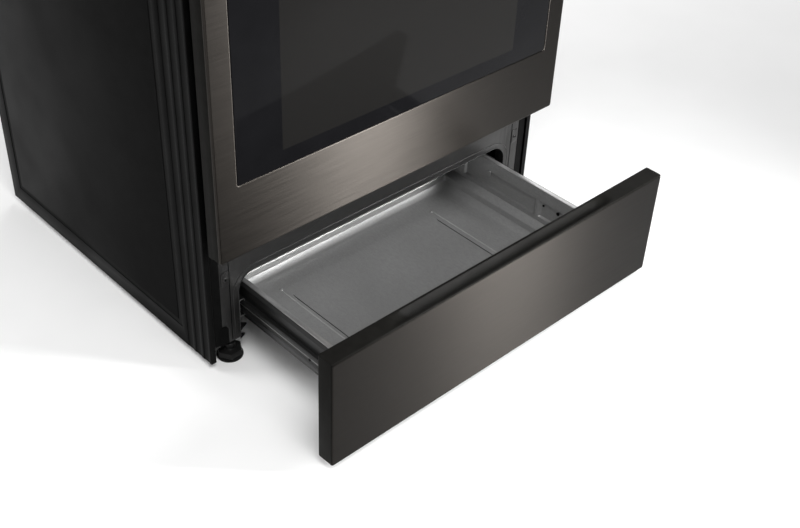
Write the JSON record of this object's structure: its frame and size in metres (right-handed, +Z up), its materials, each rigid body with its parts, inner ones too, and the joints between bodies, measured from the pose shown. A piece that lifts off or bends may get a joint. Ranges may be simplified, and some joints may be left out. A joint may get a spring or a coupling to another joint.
{
  "type": "freestanding gas range",
  "caption": "Freestanding gas range with a brushed black-steel door, a pull-out storage drawer on slides, cast grates and a raised back console.",
  "frame": {"origin": "on the floor, under the middle of the bounding box, with the drawer drawn out as stored", "axes": "+X to the right as seen from the front, +Y back towards the wall, +Z up"},
  "size_m": [0.756, 0.96, 1.2],
  "materials": {
    "black_steel": "horizontally brushed, dark smoked coating",
    "black_paint": "satin black paint",
    "black_enamel": "glossy black enamel",
    "grey_steel": "smooth semi-gloss grey coating",
    "pan_steel": "fine-grained metallic grey coating",
    "zinc_steel": "zinc-plated steel",
    "cast_alloy": "cast alloy",
    "cast_iron": "matt black coated iron",
    "enamel": "dark speckled porcelain enamel",
    "bright_wire": "bright plated wire",
    "brass": "machined",
    "black_glass": "polished, dark tinted",
    "clear_glass": "clear heat-resisting",
    "gasket": "woven glass fibre",
    "black_plastic": "moulded"
  },
  "bodies": {
    "range_body": {"left_side_panel": "black_paint", "right_side_panel": "black_paint", "back_panel": "zinc_steel", "base_frame": "zinc_steel", "front_frame": "grey_steel", "door_gasket": "gasket", "gas_regulator": "cast_alloy", "oven_cavity": "enamel", "oven_floor_cover": "enamel", "bake_burner": "zinc_steel", "broil_burner": "zinc_steel", "oven_rack_lower": "bright_wire", "oven_rack_upper": "bright_wire", "cooktop": "black_enamel", "control_panel": "black_steel", "gas_manifold": "cast_alloy", "backguard": "black_steel", "backguard_display": "black_glass", "slide_outer_left": "zinc_steel", "slide_outer_right": "zinc_steel", "hinge_arm_left": "zinc_steel", "hinge_arm_right": "zinc_steel", "burner_base_front_left": "cast_alloy", "burner_cap_front_left": "cast_iron", "burner_base_front_right": "cast_alloy", "burner_cap_front_right": "cast_iron", "burner_base_rear_left": "cast_alloy", "burner_cap_rear_left": "cast_iron", "burner_base_rear_right": "cast_alloy", "burner_cap_rear_right": "cast_iron", "burner_base_centre": "cast_alloy", "burner_cap_centre": "cast_iron"},
    "door": {"door_skin": "black_steel", "door_glass": "black_glass", "door_inner_glass": "clear_glass", "door_liner": "enamel", "door_handle": "black_steel"},
    "drawer": {"drawer_front": "black_steel", "drawer_pan": "pan_steel", "drawer_side_left": "pan_steel", "drawer_side_right": "pan_steel", "slide_inner_left": "zinc_steel", "slide_inner_right": "zinc_steel"},
    "grate_left": {"grate_left": "cast_iron"},
    "grate_centre": {"grate_centre": "cast_iron"},
    "grate_right": {"grate_right": "cast_iron"},
    "leg_front_left": {"leveling_leg_front_left": "black_plastic"},
    "leg_front_right": {"leveling_leg_front_right": "black_plastic"},
    "leg_rear_left": {"leveling_leg_rear_left": "black_plastic"},
    "leg_rear_right": {"leveling_leg_rear_right": "black_plastic"},
    "stem_1": {"valve_stem_1": "brass"},
    "knob_1": {"knob_1": "black_steel"},
    "stem_2": {"valve_stem_2": "brass"},
    "knob_2": {"knob_2": "black_steel"},
    "stem_3": {"valve_stem_3": "brass"},
    "knob_3": {"knob_3": "black_steel"},
    "stem_4": {"valve_stem_4": "brass"},
    "knob_4": {"knob_4": "black_steel"},
    "stem_5": {"valve_stem_5": "brass"},
    "knob_5": {"knob_5": "black_steel"}
  },
  "joints": [
    {"name": "drawer_slide", "type": "slide", "parent": "range_body", "child": "drawer", "axis": [0, 1, 0], "range_m": [0, 0.26]},
    {"name": "door_hinge", "type": "hinge", "parent": "range_body", "child": "door", "pos_m": [0, -0.192, 0.2555], "axis": [1, 0, 0], "range_deg": [0, 90], "stiffness_Nm_per_rad": 15, "springref_deg": -22.92},
    {"name": "grate_left_lift", "type": "slide", "parent": "range_body", "child": "grate_left", "axis": [0, 0, 1], "range_m": [0, 0.12]},
    {"name": "grate_centre_lift", "type": "slide", "parent": "range_body", "child": "grate_centre", "axis": [0, 0, 1], "range_m": [0, 0.12]},
    {"name": "grate_right_lift", "type": "slide", "parent": "range_body", "child": "grate_right", "axis": [0, 0, 1], "range_m": [0, 0.12]},
    {"name": "leg_front_left_screw", "type": "slide", "parent": "range_body", "child": "leg_front_left", "axis": [0, 0, -1], "range_m": [0, 0.025]},
    {"name": "leg_front_right_screw", "type": "slide", "parent": "range_body", "child": "leg_front_right", "axis": [0, 0, -1], "range_m": [0, 0.025]},
    {"name": "leg_rear_left_screw", "type": "slide", "parent": "range_body", "child": "leg_rear_left", "axis": [0, 0, -1], "range_m": [0, 0.025]},
    {"name": "leg_rear_right_screw", "type": "slide", "parent": "range_body", "child": "leg_rear_right", "axis": [0, 0, -1], "range_m": [0, 0.025]},
    {"name": "knob_1_push", "type": "slide", "parent": "range_body", "child": "stem_1", "axis": [0, 1, 0], "range_m": [0, 0.003], "stiffness_N_per_m": 800, "springref_m": -0.004},
    {"name": "knob_1_turn", "type": "hinge", "parent": "stem_1", "child": "knob_1", "pos_m": [-0.288, -0.24, 0.845], "axis": [0, 1, 0], "range_deg": [0, 270]},
    {"name": "knob_2_push", "type": "slide", "parent": "range_body", "child": "stem_2", "axis": [0, 1, 0], "range_m": [0, 0.003], "stiffness_N_per_m": 800, "springref_m": -0.004},
    {"name": "knob_2_turn", "type": "hinge", "parent": "stem_2", "child": "knob_2", "pos_m": [-0.192, -0.24, 0.845], "axis": [0, 1, 0], "range_deg": [0, 270]},
    {"name": "knob_3_push", "type": "slide", "parent": "range_body", "child": "stem_3", "axis": [0, 1, 0], "range_m": [0, 0.003], "stiffness_N_per_m": 800, "springref_m": -0.004},
    {"name": "knob_3_turn", "type": "hinge", "parent": "stem_3", "child": "knob_3", "pos_m": [0, -0.24, 0.845], "axis": [0, 1, 0], "range_deg": [0, 270]},
    {"name": "knob_4_push", "type": "slide", "parent": "range_body", "child": "stem_4", "axis": [0, 1, 0], "range_m": [0, 0.003], "stiffness_N_per_m": 800, "springref_m": -0.004},
    {"name": "knob_4_turn", "type": "hinge", "parent": "stem_4", "child": "knob_4", "pos_m": [0.192, -0.24, 0.845], "axis": [0, 1, 0], "range_deg": [0, 270]},
    {"name": "knob_5_push", "type": "slide", "parent": "range_body", "child": "stem_5", "axis": [0, 1, 0], "range_m": [0, 0.003], "stiffness_N_per_m": 800, "springref_m": -0.004},
    {"name": "knob_5_turn", "type": "hinge", "parent": "stem_5", "child": "knob_5", "pos_m": [0.288, -0.24, 0.845], "axis": [0, 1, 0], "range_deg": [0, 270]}
  ]
}
